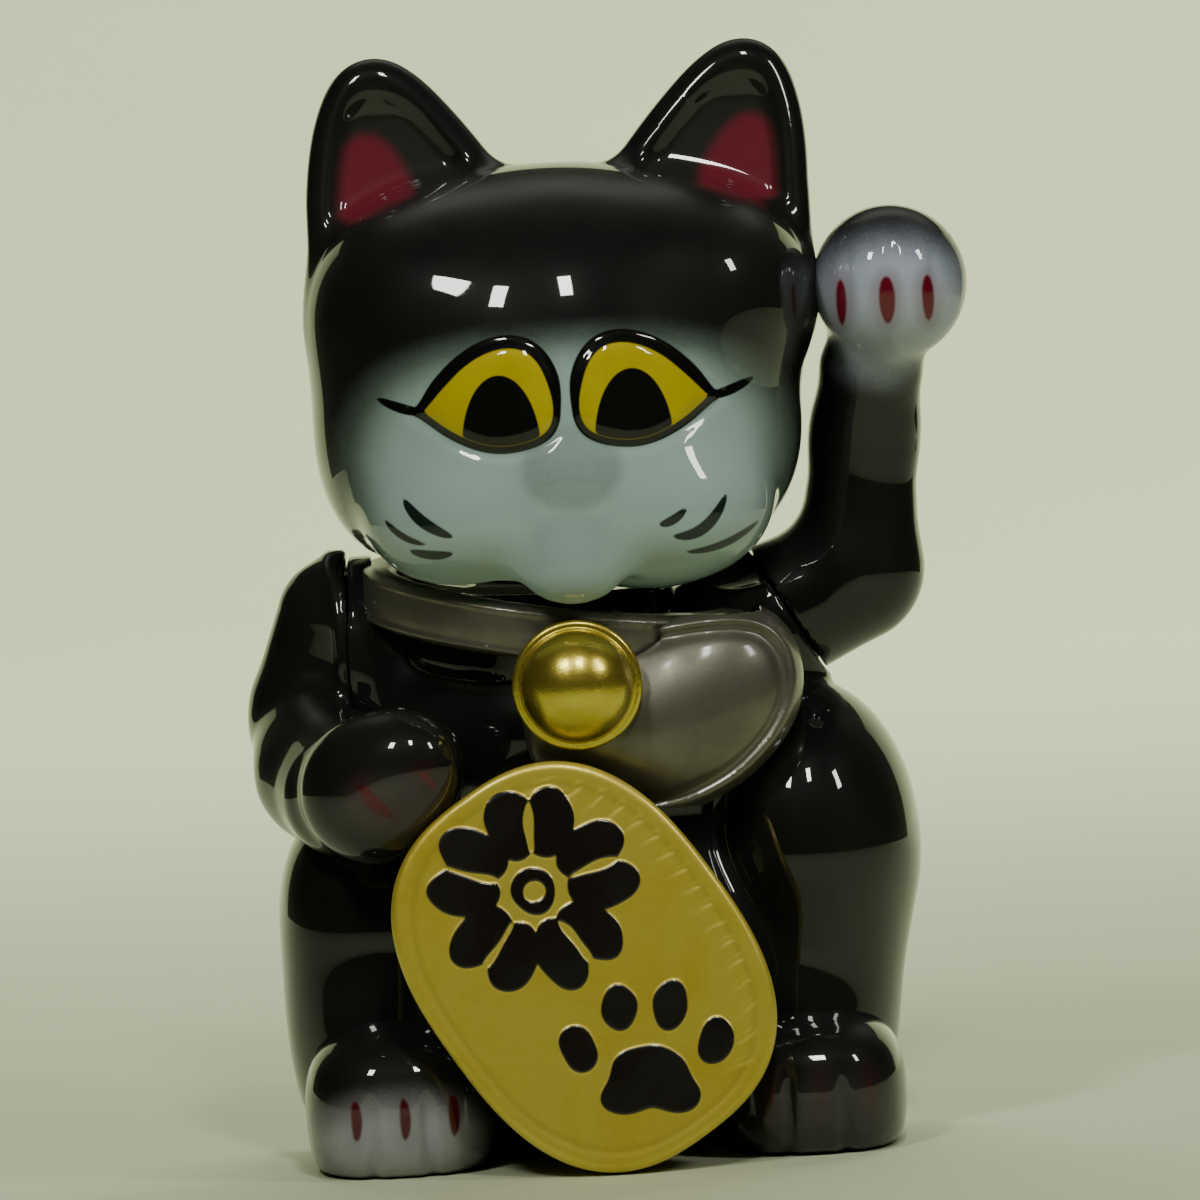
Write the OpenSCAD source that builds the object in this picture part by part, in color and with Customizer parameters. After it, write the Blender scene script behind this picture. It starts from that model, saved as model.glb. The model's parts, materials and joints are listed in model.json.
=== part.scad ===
// Beckoning cat figurine, about 143 mm to the ear tips, sitting upright with its left arm
// raised and its right paw on an oval gold plate that stands between its feet.
//
// It is a hollow soft-vinyl figure. The head and both arms are separate shells, and each
// turns on a flanged spigot pressed through a round hole. The feet, collar, bib, bell,
// plate and tail are moulded separately and fixed to the body shell.
//
// Millimetres. The cat looks along -Y, +Z is up and +X is the viewer's right when the cat
// faces the viewer. The origin is on the floor, at the middle of the flat base.

/* [Head] */
// Largest radius of the skull, seen from above
skull_r = 31.8; // [31:0.1:32]
// Height of the skull's widest level above the floor
skull_mid_z = 96.2; // [96:0.1:97]
// Height of the crown above the widest level
skull_up = 31.5; // [29:0.5:33]
// Depth of the jaw below the widest level
skull_down = 23.2; // [22.8:0.1:23.2]
// Height of the ear tips above the floor
ear_tip_z = 143; // [139:0.5:146]

/* [Body] */
// Half of the body's width at the chest
chest_half_w = 27; // [26:0.5:27.5]
// Half of the body's width at the hips
hip_half_w = 30; // [28:0.5:31]
// Thickness of every vinyl wall
wall = 2.2; // [1.8:0.1:2.6]

/* [Joints] */
// Radius of the neck spigot
neck_r = 12; // [11:0.5:12]
// Radius of each arm's spigot
arm_spigot_r = 5; // [4:0.5:5.5]
// Gap all round each spigot in its hole
spigot_gap = 0.05; // [0.02:0.01:0.1]
// Upward tilt of the raised arm's turning axis, in degrees
raised_tilt = 30; // [25:1:35]

/* [Gold plate] */
// Half of the plate's long axis
plate_half_l = 26.3; // [24:0.1:27]
// Half of the plate's short axis
plate_half_w = 19.6; // [18:0.1:20]
// Thickness of the plate without its rim
plate_t = 4; // [3:0.5:4.5]
// Turn of the plate's long axis from upright, in degrees
plate_turn = 32; // [28:1:36]
// Backward lean of the plate, in degrees
plate_lean = 8; // [6:1:10]

/* [Trim] */
// Outer radius of the collar
collar_r = 26; // [25.5:0.1:26]
// Half of the collar's height
collar_half_h = 3.4; // [3:0.1:3.5]
// Radius of the bell
bell_r = 7.3; // [6.5:0.1:7.5]

/* [Hidden] */

vinyl = [0.04, 0.04, 0.035];
gunmetal = [0.17, 0.17, 0.13];
gold = [0.6, 0.48, 0.1];

head_x = -1.2;                    // the neck axis stands a little to the viewer's left
ear_shift = 1.6;                  // the ears sit this far to the viewer's right of it
skull_upper_power = 2.3;          // roundness of the crown
skull_lower_power = 2.8;          // squarer roundness of the jaw
jaw_z = skull_mid_z - skull_down;
lip = 1.3;                        // how far each spigot's flange stands out beyond it
lip_t = 1.8;                      // thickness of that flange
seam_gap = 0.3;                   // gap between two shells that turn on each other

raised_seam = [27, 4, 68];        // middle of the raised arm's seam
raised_seam_r = 9.5;
lowered_seam = [-29.5, 4, 65];    // middle of the lowered arm's seam
lowered_seam_r = 13;
lowered_boss_r = 9;               // stem behind that seam's round pad
pad_t = 0.8;                      // thickness of the pad
socket_t = 3.6;                   // wall that each arm's spigot passes through

plate_power = 2.6;                // roundness of the plate's outline
plate_rim_w = 1.5;
plate_rim_h = 0.6;
plate_mid = [-1.5, -31, 25.9];    // middle of the plate's back face
plate_peg_r = 4;
plate_peg_l = 8;

collar_mid = [-2.5, 1, 69.6];
collar_t = 4;                     // radial thickness of the collar
collar_roll = 8;                  // its raised-arm side hangs lower, in degrees

chin_clear_r = 27.9;              // the chin hangs in front of the collar, clear of it

bell_mid = [-0.5, -28.6, 61.3];
bell_rim = 1;                     // how far the bell's rim stands out
bell_wall = 1.2;
bell_seat = 1.6;                  // depth of the bell behind its middle

tail_root = [2, 21, 14];
big = 200;

// ---- shared shapes

// An egg: a sphere stretched to its three half sizes.
module egg(at, half, fn = 32) {
    translate(at) scale(half) sphere(r = 1, $fn = fn);
}

// Everything above the level z.
module above(z) {
    translate([-big / 2, -big / 2, z]) cube(big);
}

// One point of a superellipse, at angle a, with half sizes rx and ry.
function super_point(a, rx, ry, power) = [
    rx * sign(cos(a)) * pow(abs(cos(a)), 2 / power),
    ry * sign(sin(a)) * pow(abs(sin(a)), 2 / power)
];

// Places its children in an arm's seam: +Z there is the turning axis, pointing outwards.
module at_raised_seam() {
    translate(raised_seam) rotate([0, 90 - raised_tilt, 0]) children();
}

module at_lowered_seam() {
    translate(lowered_seam) rotate([0, -90, 0]) children();
}

// An arm's spigot: a shaft through the socket wall with a flange behind it.
module arm_spigot() {
    translate([0, 0, -socket_t - seam_gap - 0.5])
        cylinder(r = arm_spigot_r, h = socket_t + seam_gap + 3, $fn = 64);
    translate([0, 0, -socket_t - seam_gap - lip_t])
        cylinder(r = arm_spigot_r + lip, h = lip_t, $fn = 64);
}

// The hole for an arm's spigot, with room behind the wall for its flange.
module arm_socket() {
    translate([0, 0, -socket_t - 1])
        cylinder(r = arm_spigot_r + spigot_gap, h = socket_t + 2, $fn = 64);
    translate([0, 0, -socket_t - 8])
        cylinder(r = arm_spigot_r + lip + 1, h = 8, $fn = 64);
}

// ---- head

// The skull as a round solid, drawn in on every side by inset.
module skull(inset = 0) {
    lower = [for (a = [-90 : 7.5 : -7.5])
        super_point(a, skull_r - inset, skull_down - inset, skull_lower_power)];
    upper = [for (a = [0 : 7.5 : 90])
        super_point(a, skull_r - inset, skull_up - inset, skull_upper_power)];
    translate([head_x, 0, skull_mid_z]) rotate_extrude($fn = 96) polygon(concat(lower, upper));
}

// A broad ear with a rounded tip; side is -1 or 1.
module ear(side) {
    middle = head_x + ear_shift;
    tip_r = 4.5;
    hull() {
        egg([middle + side * 25.6, 1, ear_tip_z - tip_r], [tip_r, 4, tip_r], 20);
        egg([middle + side * 28.2, 1, 131], [4.6, 4.5, 7], 20);
        egg([head_x + side * 24, 2, 108], [7.6, 8, 8], 20);
        egg([middle + side * 10, 2, 118], [6, 7, 8], 20);
    }
}

// The relief in the middle of the face: nose and muzzle above, chin below. Behind the
// chin it is cut to a round, so that it swings past the front of the collar.
module muzzle() {
    difference() {
        union() {
            hull() {
                egg([0, -27, 89.5], [6.2, 6, 4.5], 20);
                egg([0, -24.5, 80], [7.5, 6, 7], 20);
            }
            hull() egg([0, -26.4, 77], [7, 5.5, 6], 20);
        }
        translate([head_x, 0, jaw_z - 10])
            cylinder(r = chin_clear_r, h = 14, $fn = 96);
    }
}

module head_shell() {
    color(vinyl) difference() {
        union() {
            skull();
            ear(-1);
            ear(1);
            muzzle();
        }
        skull(wall);
        translate([head_x, 0, jaw_z - 5])
            cylinder(r = neck_r + spigot_gap, h = 12, $fn = 96);
    }
}

// ---- body

// Places its children in the collar: +Z there is its axis.
module collar_frame() {
    translate(collar_mid) rotate([0, collar_roll, 0]) children();
}

// Torso without legs, drawn in by inset. The collar sits on its shoulders, round a stub.
module torso(inset = 0, fn = 32) {
    hull() {
        collar_frame() translate([0, 0, -collar_half_h - 4.2])
            cylinder(r = collar_r - 3 - inset, h = 4 - inset, $fn = fn);
        egg([0, 0, 55], [chest_half_w - inset, 23 - inset, 11.5 - inset], fn);
        egg([0, -2, 20], [hip_half_w - inset, 26 - inset, 24 - inset], fn);
    }
    collar_frame() translate([0, 0, -collar_half_h - 4.2])
        cylinder(r = collar_r - collar_t - 0.05 - inset, h = collar_half_h + 4.7 - inset,
            $fn = 64);
}

// The haunch and shin of one leg, drawn in by inset. The one beside the plate's lower
// end rises high; the other stays low, under the lowered arm.
module high_leg(inset = 0, fn = 28) {
    hull() {
        egg([28, -1, 39], [15 - inset, 21 - inset, 21.5 - inset], fn);
        egg([27, -7, 10], [11.3 - inset, 16 - inset, 12 - inset], fn);
    }
}

module low_leg(inset = 0, fn = 28) {
    hull() {
        egg([-27, 1, 27], [13.5 - inset, 20 - inset, 17.5 - inset], fn);
        egg([-27, -6, 10], [11.5 - inset, 16 - inset, 12 - inset], fn);
    }
}

module legs_and_torso() {
    torso();
    high_leg();
    low_leg();
}

// The neck: a seat under the head, then the spigot with its flange.
module neck() {
    flange_z = jaw_z + wall + 1.2;
    translate([head_x, 0, 62]) cylinder(r = neck_r + 2, h = jaw_z + 0.2 - 62, $fn = 96);
    translate([head_x, 0, 62]) cylinder(r = neck_r, h = flange_z + 1 - 62, $fn = 96);
    translate([head_x, 0, flange_z]) cylinder(r = neck_r + lip, h = lip_t, $fn = 96);
}

// The shoulder that carries the raised arm, grown by gap.
module raised_boss(gap = 0) {
    at_raised_seam() translate([0, 0, -12])
        cylinder(r1 = 12 + gap, r2 = raised_seam_r + gap, h = 12, $fn = 64);
}

module body_shell() {
    color(vinyl) difference() {
        union() {
            intersection() {
                legs_and_torso();
                above(0);
            }
            neck();
            raised_boss();
            at_lowered_seam() {
                translate([0, 0, -pad_t]) cylinder(r = lowered_seam_r, h = pad_t, $fn = 96);
                translate([0, 0, -11]) cylinder(r = lowered_boss_r, h = 11, $fn = 64);
            }
        }
        intersection() {
            union() {
                torso(wall, 20);
                high_leg(wall, 16);
                low_leg(wall, 16);
            }
            above(wall);
        }
        translate([head_x, 0, 60]) cylinder(r = neck_r - wall, h = 30, $fn = 64);
        at_raised_seam() arm_socket();
        at_lowered_seam() arm_socket();
        plate_frame() plate_peg(0.05);
        tail_peg(0.05);
    }
}

// ---- feet

// A foot's outer shape; the toes point along -Y.
module foot_form(at, half) {
    hull() egg(at, half, 28);
}

module foot(at, half) {
    difference() {
        intersection() {
            foot_form(at, half);
            above(0);
        }
        legs_and_torso();
    }
}

// The cat's own left foot, on the viewer's right.
module left_foot() {
    color(vinyl) foot([27, -17, 6.5], [11.6, 17, 11.5]);
}

module right_foot() {
    color(vinyl) foot([-26, -17, 8], [12, 17, 12.5]);
}

// ---- arms

// The cat's own left arm, on the viewer's right: up beside the head, the paw beckoning.
module raised_arm_skin(inset = 0, fn = 24) {
    hull() {
        at_raised_seam() translate([0, 0, seam_gap + inset])
            cylinder(r = raised_seam_r - 0.2 - inset, h = 0.5, $fn = 32);
        egg([37.4, 5, 71.5], [8.2 - inset, 8.6 - inset, 9.5 - inset], fn);
    }
    hull() {
        egg([38.5, 5.5, 74], [8 - inset, 8.5 - inset, 9.5 - inset], fn);
        egg([40.8, 4, 95], [6.9 - inset, 7.4 - inset, 7 - inset], fn);
    }
    hull() {
        egg([40.9, 3.5, 97], [6.9 - inset, 7.4 - inset, 7 - inset], fn);
        egg([43, -3.5, 109.5], [9.8 - inset, 9.6 - inset, 10.4 - inset], fn);
    }
}

module raised_arm() {
    color(vinyl) {
        difference() {
            raised_arm_skin();
            raised_arm_skin(wall, 14);
        }
        at_raised_seam() arm_spigot();
    }
}

// The cat's own right arm, on the viewer's left: down and forward, the paw at the plate.
module lowered_arm_skin(inset = 0, fn = 24) {
    difference() {
        union() {
            hull() {
                at_lowered_seam() translate([0, 0, seam_gap + inset])
                    cylinder(r = lowered_seam_r - 0.2 - inset, h = 0.5, $fn = 40);
                egg([-35.9, 5, 69.5], [6 - inset, 9 - inset, 11 - inset], fn);
                egg([-36.6, 2, 63], [7.4 - inset, 10 - inset, 9.5 - inset], fn);
            }
            hull() {
                egg([-36.4, 1, 62], [7.6 - inset, 9.5 - inset, 9.5 - inset], fn);
                egg([-35.4, -10, 55.5], [8.2 - inset, 9 - inset, 9 - inset], fn);
            }
            hull() {
                egg([-35.4, -10, 55.5], [8.2 - inset, 9 - inset, 9 - inset], fn);
                egg([-32.5, -21, 49], [8.5 - inset, 9 - inset, 9 - inset], fn);
                egg([-24.5, -28.5, 53.3], [7.3 - inset, 7.5 - inset, 7 - inset], fn);
                egg([-28.8, -26, 48.9], [7 - inset, 7.5 - inset, 7.2 - inset], fn);
            }
        }
        at_lowered_seam() translate([0, 0, seam_gap + inset - 20])
            cylinder(r = lowered_seam_r + 0.6 + inset, h = 20, $fn = 96);
    }
}

module lowered_arm() {
    color(vinyl) {
        difference() {
            lowered_arm_skin();
            lowered_arm_skin(wall, 14);
        }
        at_lowered_seam() arm_spigot();
    }
}

// ---- trim

// A rounded bar's section: w wide, h high, centred, with rounded corners.
module rounded_section(w, h, r) {
    square([w - 2 * r, h], center = true);
    square([w, h - 2 * r], center = true);
    for (x = [-1, 1], y = [-1, 1])
        translate([x * (w / 2 - r), y * (h / 2 - r)]) circle(r = r, $fn = 32);
}

module collar() {
    color(gunmetal) difference() {
        collar_frame() rotate_extrude($fn = 96)
            translate([collar_r - collar_t / 2, 0])
                rounded_section(collar_t, 2 * collar_half_h, 1.6);
        at_raised_seam() translate([0, 0, -20])
            cylinder(r = raised_seam_r + 3, h = 40, $fn = 64);
        at_lowered_seam() translate([0, 0, -20])
            cylinder(r = lowered_boss_r + 0.4, h = 40, $fn = 64);
    }
}

// The puffed bib under the collar, wider on the raised arm's side.
module bib() {
    color(gunmetal) difference() {
        hull() {
            egg([-7, -14, 57.5], [10.5, 12.5, 9.5], 28);
            egg([15.5, -11, 57], [12, 13.5, 10.5], 28);
            egg([10, -14, 53], [10, 12.5, 8.5], 28);
        }
        torso(-0.05);
        high_leg(-0.05);
        raised_boss(0.1);
        collar_frame() translate([0, 0, -collar_half_h])
            cylinder(r = collar_r, h = 20, $fn = 96);
        translate(bell_mid) rotate([90, 0, 0]) translate([0, 0, -bell_seat])
            cylinder(r = bell_r + bell_rim + 0.4, h = 20, $fn = 64);
    }
}

// A domed bell with a thin rim, open at the back where it sits on the bib.
module bell() {
    color(gold) translate(bell_mid) rotate([90, 0, 0]) difference() {
        union() {
            sphere(r = bell_r, $fn = 64);
            translate([0, 0, -bell_seat])
                cylinder(r = bell_r + bell_rim, h = 1.4, $fn = 64);
        }
        sphere(r = bell_r - bell_wall, $fn = 48);
        translate([0, 0, -bell_seat - 20]) cylinder(r = 20, h = 20, $fn = 32);
    }
}

// ---- gold plate

// Places its children on the plate: +Z there points out of its front face.
module plate_frame() {
    translate(plate_mid) rotate([90 - plate_lean, 0, 0]) rotate([0, 0, plate_turn]) children();
}

module plate_outline(inset = 0) {
    polygon([for (a = [0 : 5 : 355])
        super_point(a, plate_half_w - inset, plate_half_l - inset, plate_power)]);
}

module plate_peg(gap = 0) {
    translate([0, 0, -plate_peg_l - gap])
        cylinder(r = plate_peg_r + gap, h = plate_peg_l + gap + 0.5, $fn = 48);
}

module gold_plate() {
    color(gold) plate_frame() {
        linear_extrude(plate_t) plate_outline();
        translate([0, 0, plate_t]) linear_extrude(plate_rim_h) difference() {
            plate_outline();
            plate_outline(plate_rim_w);
        }
        plate_peg();
    }
}

// ---- tail

module tail_peg(gap = 0) {
    translate(tail_root + [0, -3, 0]) rotate([-90, 0, 0])
        cylinder(r = 3 + gap, h = 9, $fn = 48);
}

// A short bobbed tail, plugged into the back of the hips.
module tail() {
    color(vinyl) {
        difference() {
            hull() {
                egg(tail_root, [6, 6, 6], 20);
                egg(tail_root + [1, 7, 6], [5.2, 5, 5.5], 20);
            }
            torso();
        }
        tail_peg();
    }
}

head_shell();
body_shell();
raised_arm();
lowered_arm();
left_foot();
right_foot();
collar();
bib();
bell();
gold_plate();
tail();
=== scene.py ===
import json
import math

import bpy
import numpy as np
from mathutils import Matrix, Vector


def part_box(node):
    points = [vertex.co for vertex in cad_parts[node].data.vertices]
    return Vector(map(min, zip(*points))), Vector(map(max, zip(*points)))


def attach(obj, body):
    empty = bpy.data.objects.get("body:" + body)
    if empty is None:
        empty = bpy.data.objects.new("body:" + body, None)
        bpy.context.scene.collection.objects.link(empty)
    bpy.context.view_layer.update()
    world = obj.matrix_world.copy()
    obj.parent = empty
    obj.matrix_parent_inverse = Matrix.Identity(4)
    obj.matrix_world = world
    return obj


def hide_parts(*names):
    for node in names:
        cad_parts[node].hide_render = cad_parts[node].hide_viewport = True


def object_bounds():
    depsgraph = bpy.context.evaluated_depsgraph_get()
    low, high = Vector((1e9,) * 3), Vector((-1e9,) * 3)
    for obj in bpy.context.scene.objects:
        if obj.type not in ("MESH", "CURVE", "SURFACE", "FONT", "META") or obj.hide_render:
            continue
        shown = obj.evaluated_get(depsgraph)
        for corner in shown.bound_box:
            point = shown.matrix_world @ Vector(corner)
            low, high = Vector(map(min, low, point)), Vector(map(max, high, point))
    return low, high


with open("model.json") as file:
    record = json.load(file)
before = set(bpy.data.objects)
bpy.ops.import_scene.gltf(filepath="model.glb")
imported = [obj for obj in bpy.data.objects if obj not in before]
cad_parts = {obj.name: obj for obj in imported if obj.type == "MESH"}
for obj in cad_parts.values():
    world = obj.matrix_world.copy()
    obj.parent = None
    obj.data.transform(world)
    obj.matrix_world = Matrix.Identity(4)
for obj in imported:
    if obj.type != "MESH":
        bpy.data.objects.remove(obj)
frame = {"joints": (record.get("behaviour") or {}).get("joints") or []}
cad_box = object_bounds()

# Shapes are worked out in millimetres, in the frame of the CAD model: the cat looks along -Y.
# Each soft shape is a field, a function of points that is negative inside the piece, and
# contour() wraps it in a quad mesh. Painted features are fields too, stored on the mesh's
# points, so that the materials can cut crisp edges from them.
MM = 0.001


# ---- places, from the frame

def corners_mm(node):
    low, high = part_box(node)
    return np.array(low) / MM, np.array(high) / MM


def middle_mm(node):
    low, high = corners_mm(node)
    return (low + high) / 2


def joint_mm(name):
    joint = next(j for j in frame["joints"] if j["name"] == name)
    axis = np.array(joint["axis"], float)
    return np.array(joint["pos_m"], float) / MM, axis / np.linalg.norm(axis)


NECK, _ = joint_mm("neck_turn")
RAISED_SEAM, RAISED_AXIS = joint_mm("raised_arm_turn")
LOWERED_SEAM, LOWERED_AXIS = joint_mm("lowered_arm_turn")
_, HEAD_HIGH = corners_mm("head_shell")
SKULL_MID = np.array([NECK[0], 0.0, HEAD_HIGH[2] - 46.8])
SKULL_R = HEAD_HIGH[1]          # the back of the skull is its largest radius
SKULL_UP = 31.5
SKULL_DOWN = 23.2
FACE_X = 0.1                    # the middle of the face
EAR_X = NECK[0] + 1.6           # midway between the ears
SEAM_GAP = 0.3                  # between the body and each arm
FAR = 50.0                      # a paint distance where no mark shows


# ---- fields

def vec(*values):
    return np.array(values, float)


def smooth_min(a, b, soft):
    h = np.clip(0.5 + 0.5 * (b - a) / soft, 0, 1)
    return b + (a - b) * h - soft * h * (1 - h)


def smooth_max(a, b, soft):
    return -smooth_min(-a, -b, soft)


def fade(x, start, end):
    """0 before start, 1 after end, smooth between; start may be above end."""
    t = np.clip((x - start) / (end - start), 0, 1)
    return t * t * (3 - 2 * t)


def blend_all(fields, soft):
    total = fields[0]
    for field in fields[1:]:
        total = smooth_min(total, field, soft)
    return total


def egg(p, at, half, turn=None):
    """An ellipsoid with its middle at the point at."""
    q = p - at
    if turn is not None:
        q = q @ turn
    half = np.asarray(half, float)
    k0 = np.linalg.norm(q / half, axis=-1)
    k1 = np.linalg.norm(q / half**2, axis=-1)
    return k0 * (k0 - 1) / np.maximum(k1, 1e-6)


def pillow(p, at, half, power):
    """Like egg, with fuller corners as power grows above 2."""
    q = np.abs(p - at) / np.asarray(half, float)
    norm = np.maximum((q**power).sum(-1), 1e-9) ** (1 / power)
    return (norm - 1) * np.linalg.norm(p - at, axis=-1) / np.maximum(norm, 0.3)


def limb(p, a, b, ra, rb):
    """A rounded bar from a to b whose radius runs from ra to rb."""
    a, b = np.asarray(a, float), np.asarray(b, float)
    along = np.clip((p - a) @ (b - a) / ((b - a) @ (b - a)), 0, 1)
    near = a + along[..., None] * (b - a)
    return np.linalg.norm(p - near, axis=-1) - (ra + (rb - ra) * along)


def plane(p, at, normal):
    return (p - at) @ np.asarray(normal, float)


def round_corner(a, b, r):
    """Inside where a and b are both negative, with the corner between them rounded to r."""
    a, b = a + r, b + r
    return np.hypot(np.maximum(a, 0), np.maximum(b, 0)) + np.minimum(np.maximum(a, b), 0) - r


def ellipse(x, y, at, half, turn=0.0):
    """The distance from an ellipse in a plane; half[1] may be one number or (down, up)."""
    c, s = math.cos(math.radians(turn)), math.sin(math.radians(turn))
    u = (x - at[0]) * c + (y - at[1]) * s
    v = (y - at[1]) * c - (x - at[0]) * s
    down, up = half[1] if isinstance(half[1], tuple) else (half[1], half[1])
    b = np.where(v < 0, down, up)
    k0 = np.hypot(u / half[0], v / b)
    k1 = np.hypot(u / half[0] ** 2, v / b**2)
    return k0 * (k0 - 1) / np.maximum(k1, 1e-6)


def polygon(x, y, points):
    """The signed distance from a closed outline of straight stretches."""
    best = np.full(x.shape, 1e18)
    inside = np.zeros(x.shape, bool)
    for (ax, ay), (bx, by) in zip(points, points[1:] + points[:1]):
        ex, ey = bx - ax, by - ay
        t = np.clip(((x - ax) * ex + (y - ay) * ey) / (ex * ex + ey * ey), 0, 1)
        best = np.minimum(best, (x - ax - t * ex) ** 2 + (y - ay - t * ey) ** 2)
        if ay != by:
            crosses = ((ay > y) != (by > y)) & (x < ex * (y - ay) / ey + ax)
            inside ^= crosses
    return np.where(inside, -1, 1) * np.sqrt(best)


def stroke(x, y, start, bend, end, width, steps=12):
    """A brush stroke along a bent line, thin at both ends and width across in the middle."""
    best = np.full(x.shape, 1e9)
    ts = np.linspace(0, 1, steps + 1)
    path = [((1 - t) ** 2 * vec(*start) + 2 * t * (1 - t) * vec(*bend) + t * t * vec(*end))
            for t in ts]
    for t, a, b in zip(ts, path, path[1:]):
        e = b - a
        along = np.clip(((x - a[0]) * e[0] + (y - a[1]) * e[1]) / (e @ e), 0, 1)
        gap = np.hypot(x - a[0] - along * e[0], y - a[1] - along * e[1])
        at = t + along / steps
        best = np.minimum(best, gap - width / 2 * np.sqrt(np.clip(4 * at * (1 - at), 0.02, 1)))
    return best


def rounded(points, rounds=3):
    """Cuts the corners of a closed outline until it reads as a smooth curve."""
    path = np.array(points, float)
    for _ in range(rounds):
        after = np.roll(path, -1, axis=0)
        path = np.stack([0.75 * path + 0.25 * after, 0.25 * path + 0.75 * after], 1)
        path = path.reshape(-1, 2)
    return [tuple(point) for point in path]


class Chart:
    """A flat field worked out once on a fine grid, then read off by position."""

    def __init__(self, field, low, high, step=0.2):
        self.low, self.step = low, step
        us = np.arange(low[0], high[0], step)
        vs = np.arange(low[1], high[1], step)
        self.table = field(*np.meshgrid(us, vs, indexing="ij"))

    def __call__(self, u, v):
        rows, columns = self.table.shape
        a = np.clip((u - self.low[0]) / self.step, 0, rows - 1.001)
        b = np.clip((v - self.low[1]) / self.step, 0, columns - 1.001)
        i, j = a.astype(int), b.astype(int)
        a, b = a - i, b - j
        t = self.table
        near = t[i, j] * (1 - b) + t[i, j + 1] * b
        far = t[i + 1, j] * (1 - b) + t[i + 1, j + 1] * b
        return near * (1 - a) + far * a


# ---- meshes from fields

def contour(field, low, high, step):
    """Points and quads of the surface where field is zero, one point per crossed cell."""
    axes = [np.arange(lo - 2 * step, hi + 3 * step, step) for lo, hi in zip(low, high)]
    grid = np.stack(np.meshgrid(*axes, indexing="ij"), -1)
    value = field(grid.reshape(-1, 3)).reshape(grid.shape[:3])
    cells = tuple(n - 1 for n in value.shape)
    total, count = np.zeros(cells + (3,)), np.zeros(cells)
    crossings = []
    for axis in range(3):
        u, v = (axis + 1) % 3, (axis + 2) % 3
        first = [slice(None)] * 3
        last = [slice(None)] * 3
        first[axis], last[axis] = slice(0, -1), slice(1, None)
        va, vb = value[tuple(first)], value[tuple(last)]
        crossed = (va < 0) != (vb < 0)
        share = np.where(crossed, va / np.where(crossed, va - vb, 1), 0)
        point = grid[tuple(first)].copy()
        point[..., axis] += share * step
        for du in (0, 1):
            for dv in (0, 1):
                part = [slice(None)] * 3
                part[u] = slice(du, du + cells[u])
                part[v] = slice(dv, dv + cells[v])
                total += np.where(crossed[tuple(part)][..., None], point[tuple(part)], 0)
                count += crossed[tuple(part)]
        crossings.append((axis, u, v, crossed, va < 0))
    active = count > 0
    index = np.full(cells, -1)
    index[active] = np.arange(active.sum())
    points = total[active] / count[active][:, None]
    quads = []
    for axis, u, v, crossed, leaves in crossings:
        inner = [slice(None)] * 3
        inner[u] = inner[v] = slice(1, -1)
        hit, out = crossed[tuple(inner)], leaves[tuple(inner)]

        def cell(du, dv):
            part = [slice(None)] * 3
            part[u] = slice(du, du + hit.shape[u])
            part[v] = slice(dv, dv + hit.shape[v])
            return index[tuple(part)][hit]

        ring = np.stack([cell(0, 0), cell(1, 0), cell(1, 1), cell(0, 1)], -1)
        quads.append(np.where(out[hit][:, None], ring, ring[:, ::-1]))
    return points, np.concatenate(quads)


def slope(field, p, h=0.03):
    """The field's gradient, from four points round each one."""
    total = np.zeros_like(p)
    for corner in ((1, -1, -1), (-1, -1, 1), (-1, 1, -1), (1, 1, 1)):
        k = vec(*corner)
        total += k * field(p + k * h)[:, None]
    return total / (4 * h)


def settle(field, p, rounds=2):
    """Moves the points onto the surface, no step over 1 mm."""
    for _ in range(rounds):
        g = slope(field, p)
        move = g * (field(p) / np.maximum((g * g).sum(-1), 0.05))[:, None]
        length = np.linalg.norm(move, axis=-1, keepdims=True)
        p = p - move * np.minimum(1, 1 / np.maximum(length, 1e-9))
    return p


def edges_of(quads):
    ends = np.concatenate([quads[:, [i, (i + 1) % 4]] for i in range(4)])
    ends.sort(axis=1)
    key = ends[:, 0].astype(np.int64) << 32 | ends[:, 1]
    unique, inverse = np.unique(key, return_inverse=True)
    pairs = np.stack([unique >> 32, unique & 0xFFFFFFFF], -1).astype(int)
    return pairs, inverse.reshape(4, -1).T


def relax(field, points, quads, rounds):
    """Evens out the mesh, then puts it back on the surface."""
    pairs, _ = edges_of(quads)
    both = np.concatenate([pairs, pairs[:, ::-1]])
    number = np.bincount(both[:, 0], minlength=len(points))[:, None]
    for _ in range(rounds):
        mean = np.stack([np.bincount(both[:, 0], points[both[:, 1], i], len(points))
                         for i in range(3)], -1) / number
        points = settle(field, points + 0.6 * (mean - points), 1)
    return points


def split(points, quads):
    """Cuts every quad in four."""
    pairs, sides = edges_of(quads)
    middles = points[pairs].mean(1)
    centres = points[quads].mean(1)
    sides = sides + len(points)
    heart = np.arange(len(quads)) + len(points) + len(pairs)
    new = [np.stack([quads[:, i], sides[:, i], heart, sides[:, i - 1]], -1) for i in range(4)]
    return np.concatenate([points, middles, centres]), np.concatenate(new)


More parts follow.
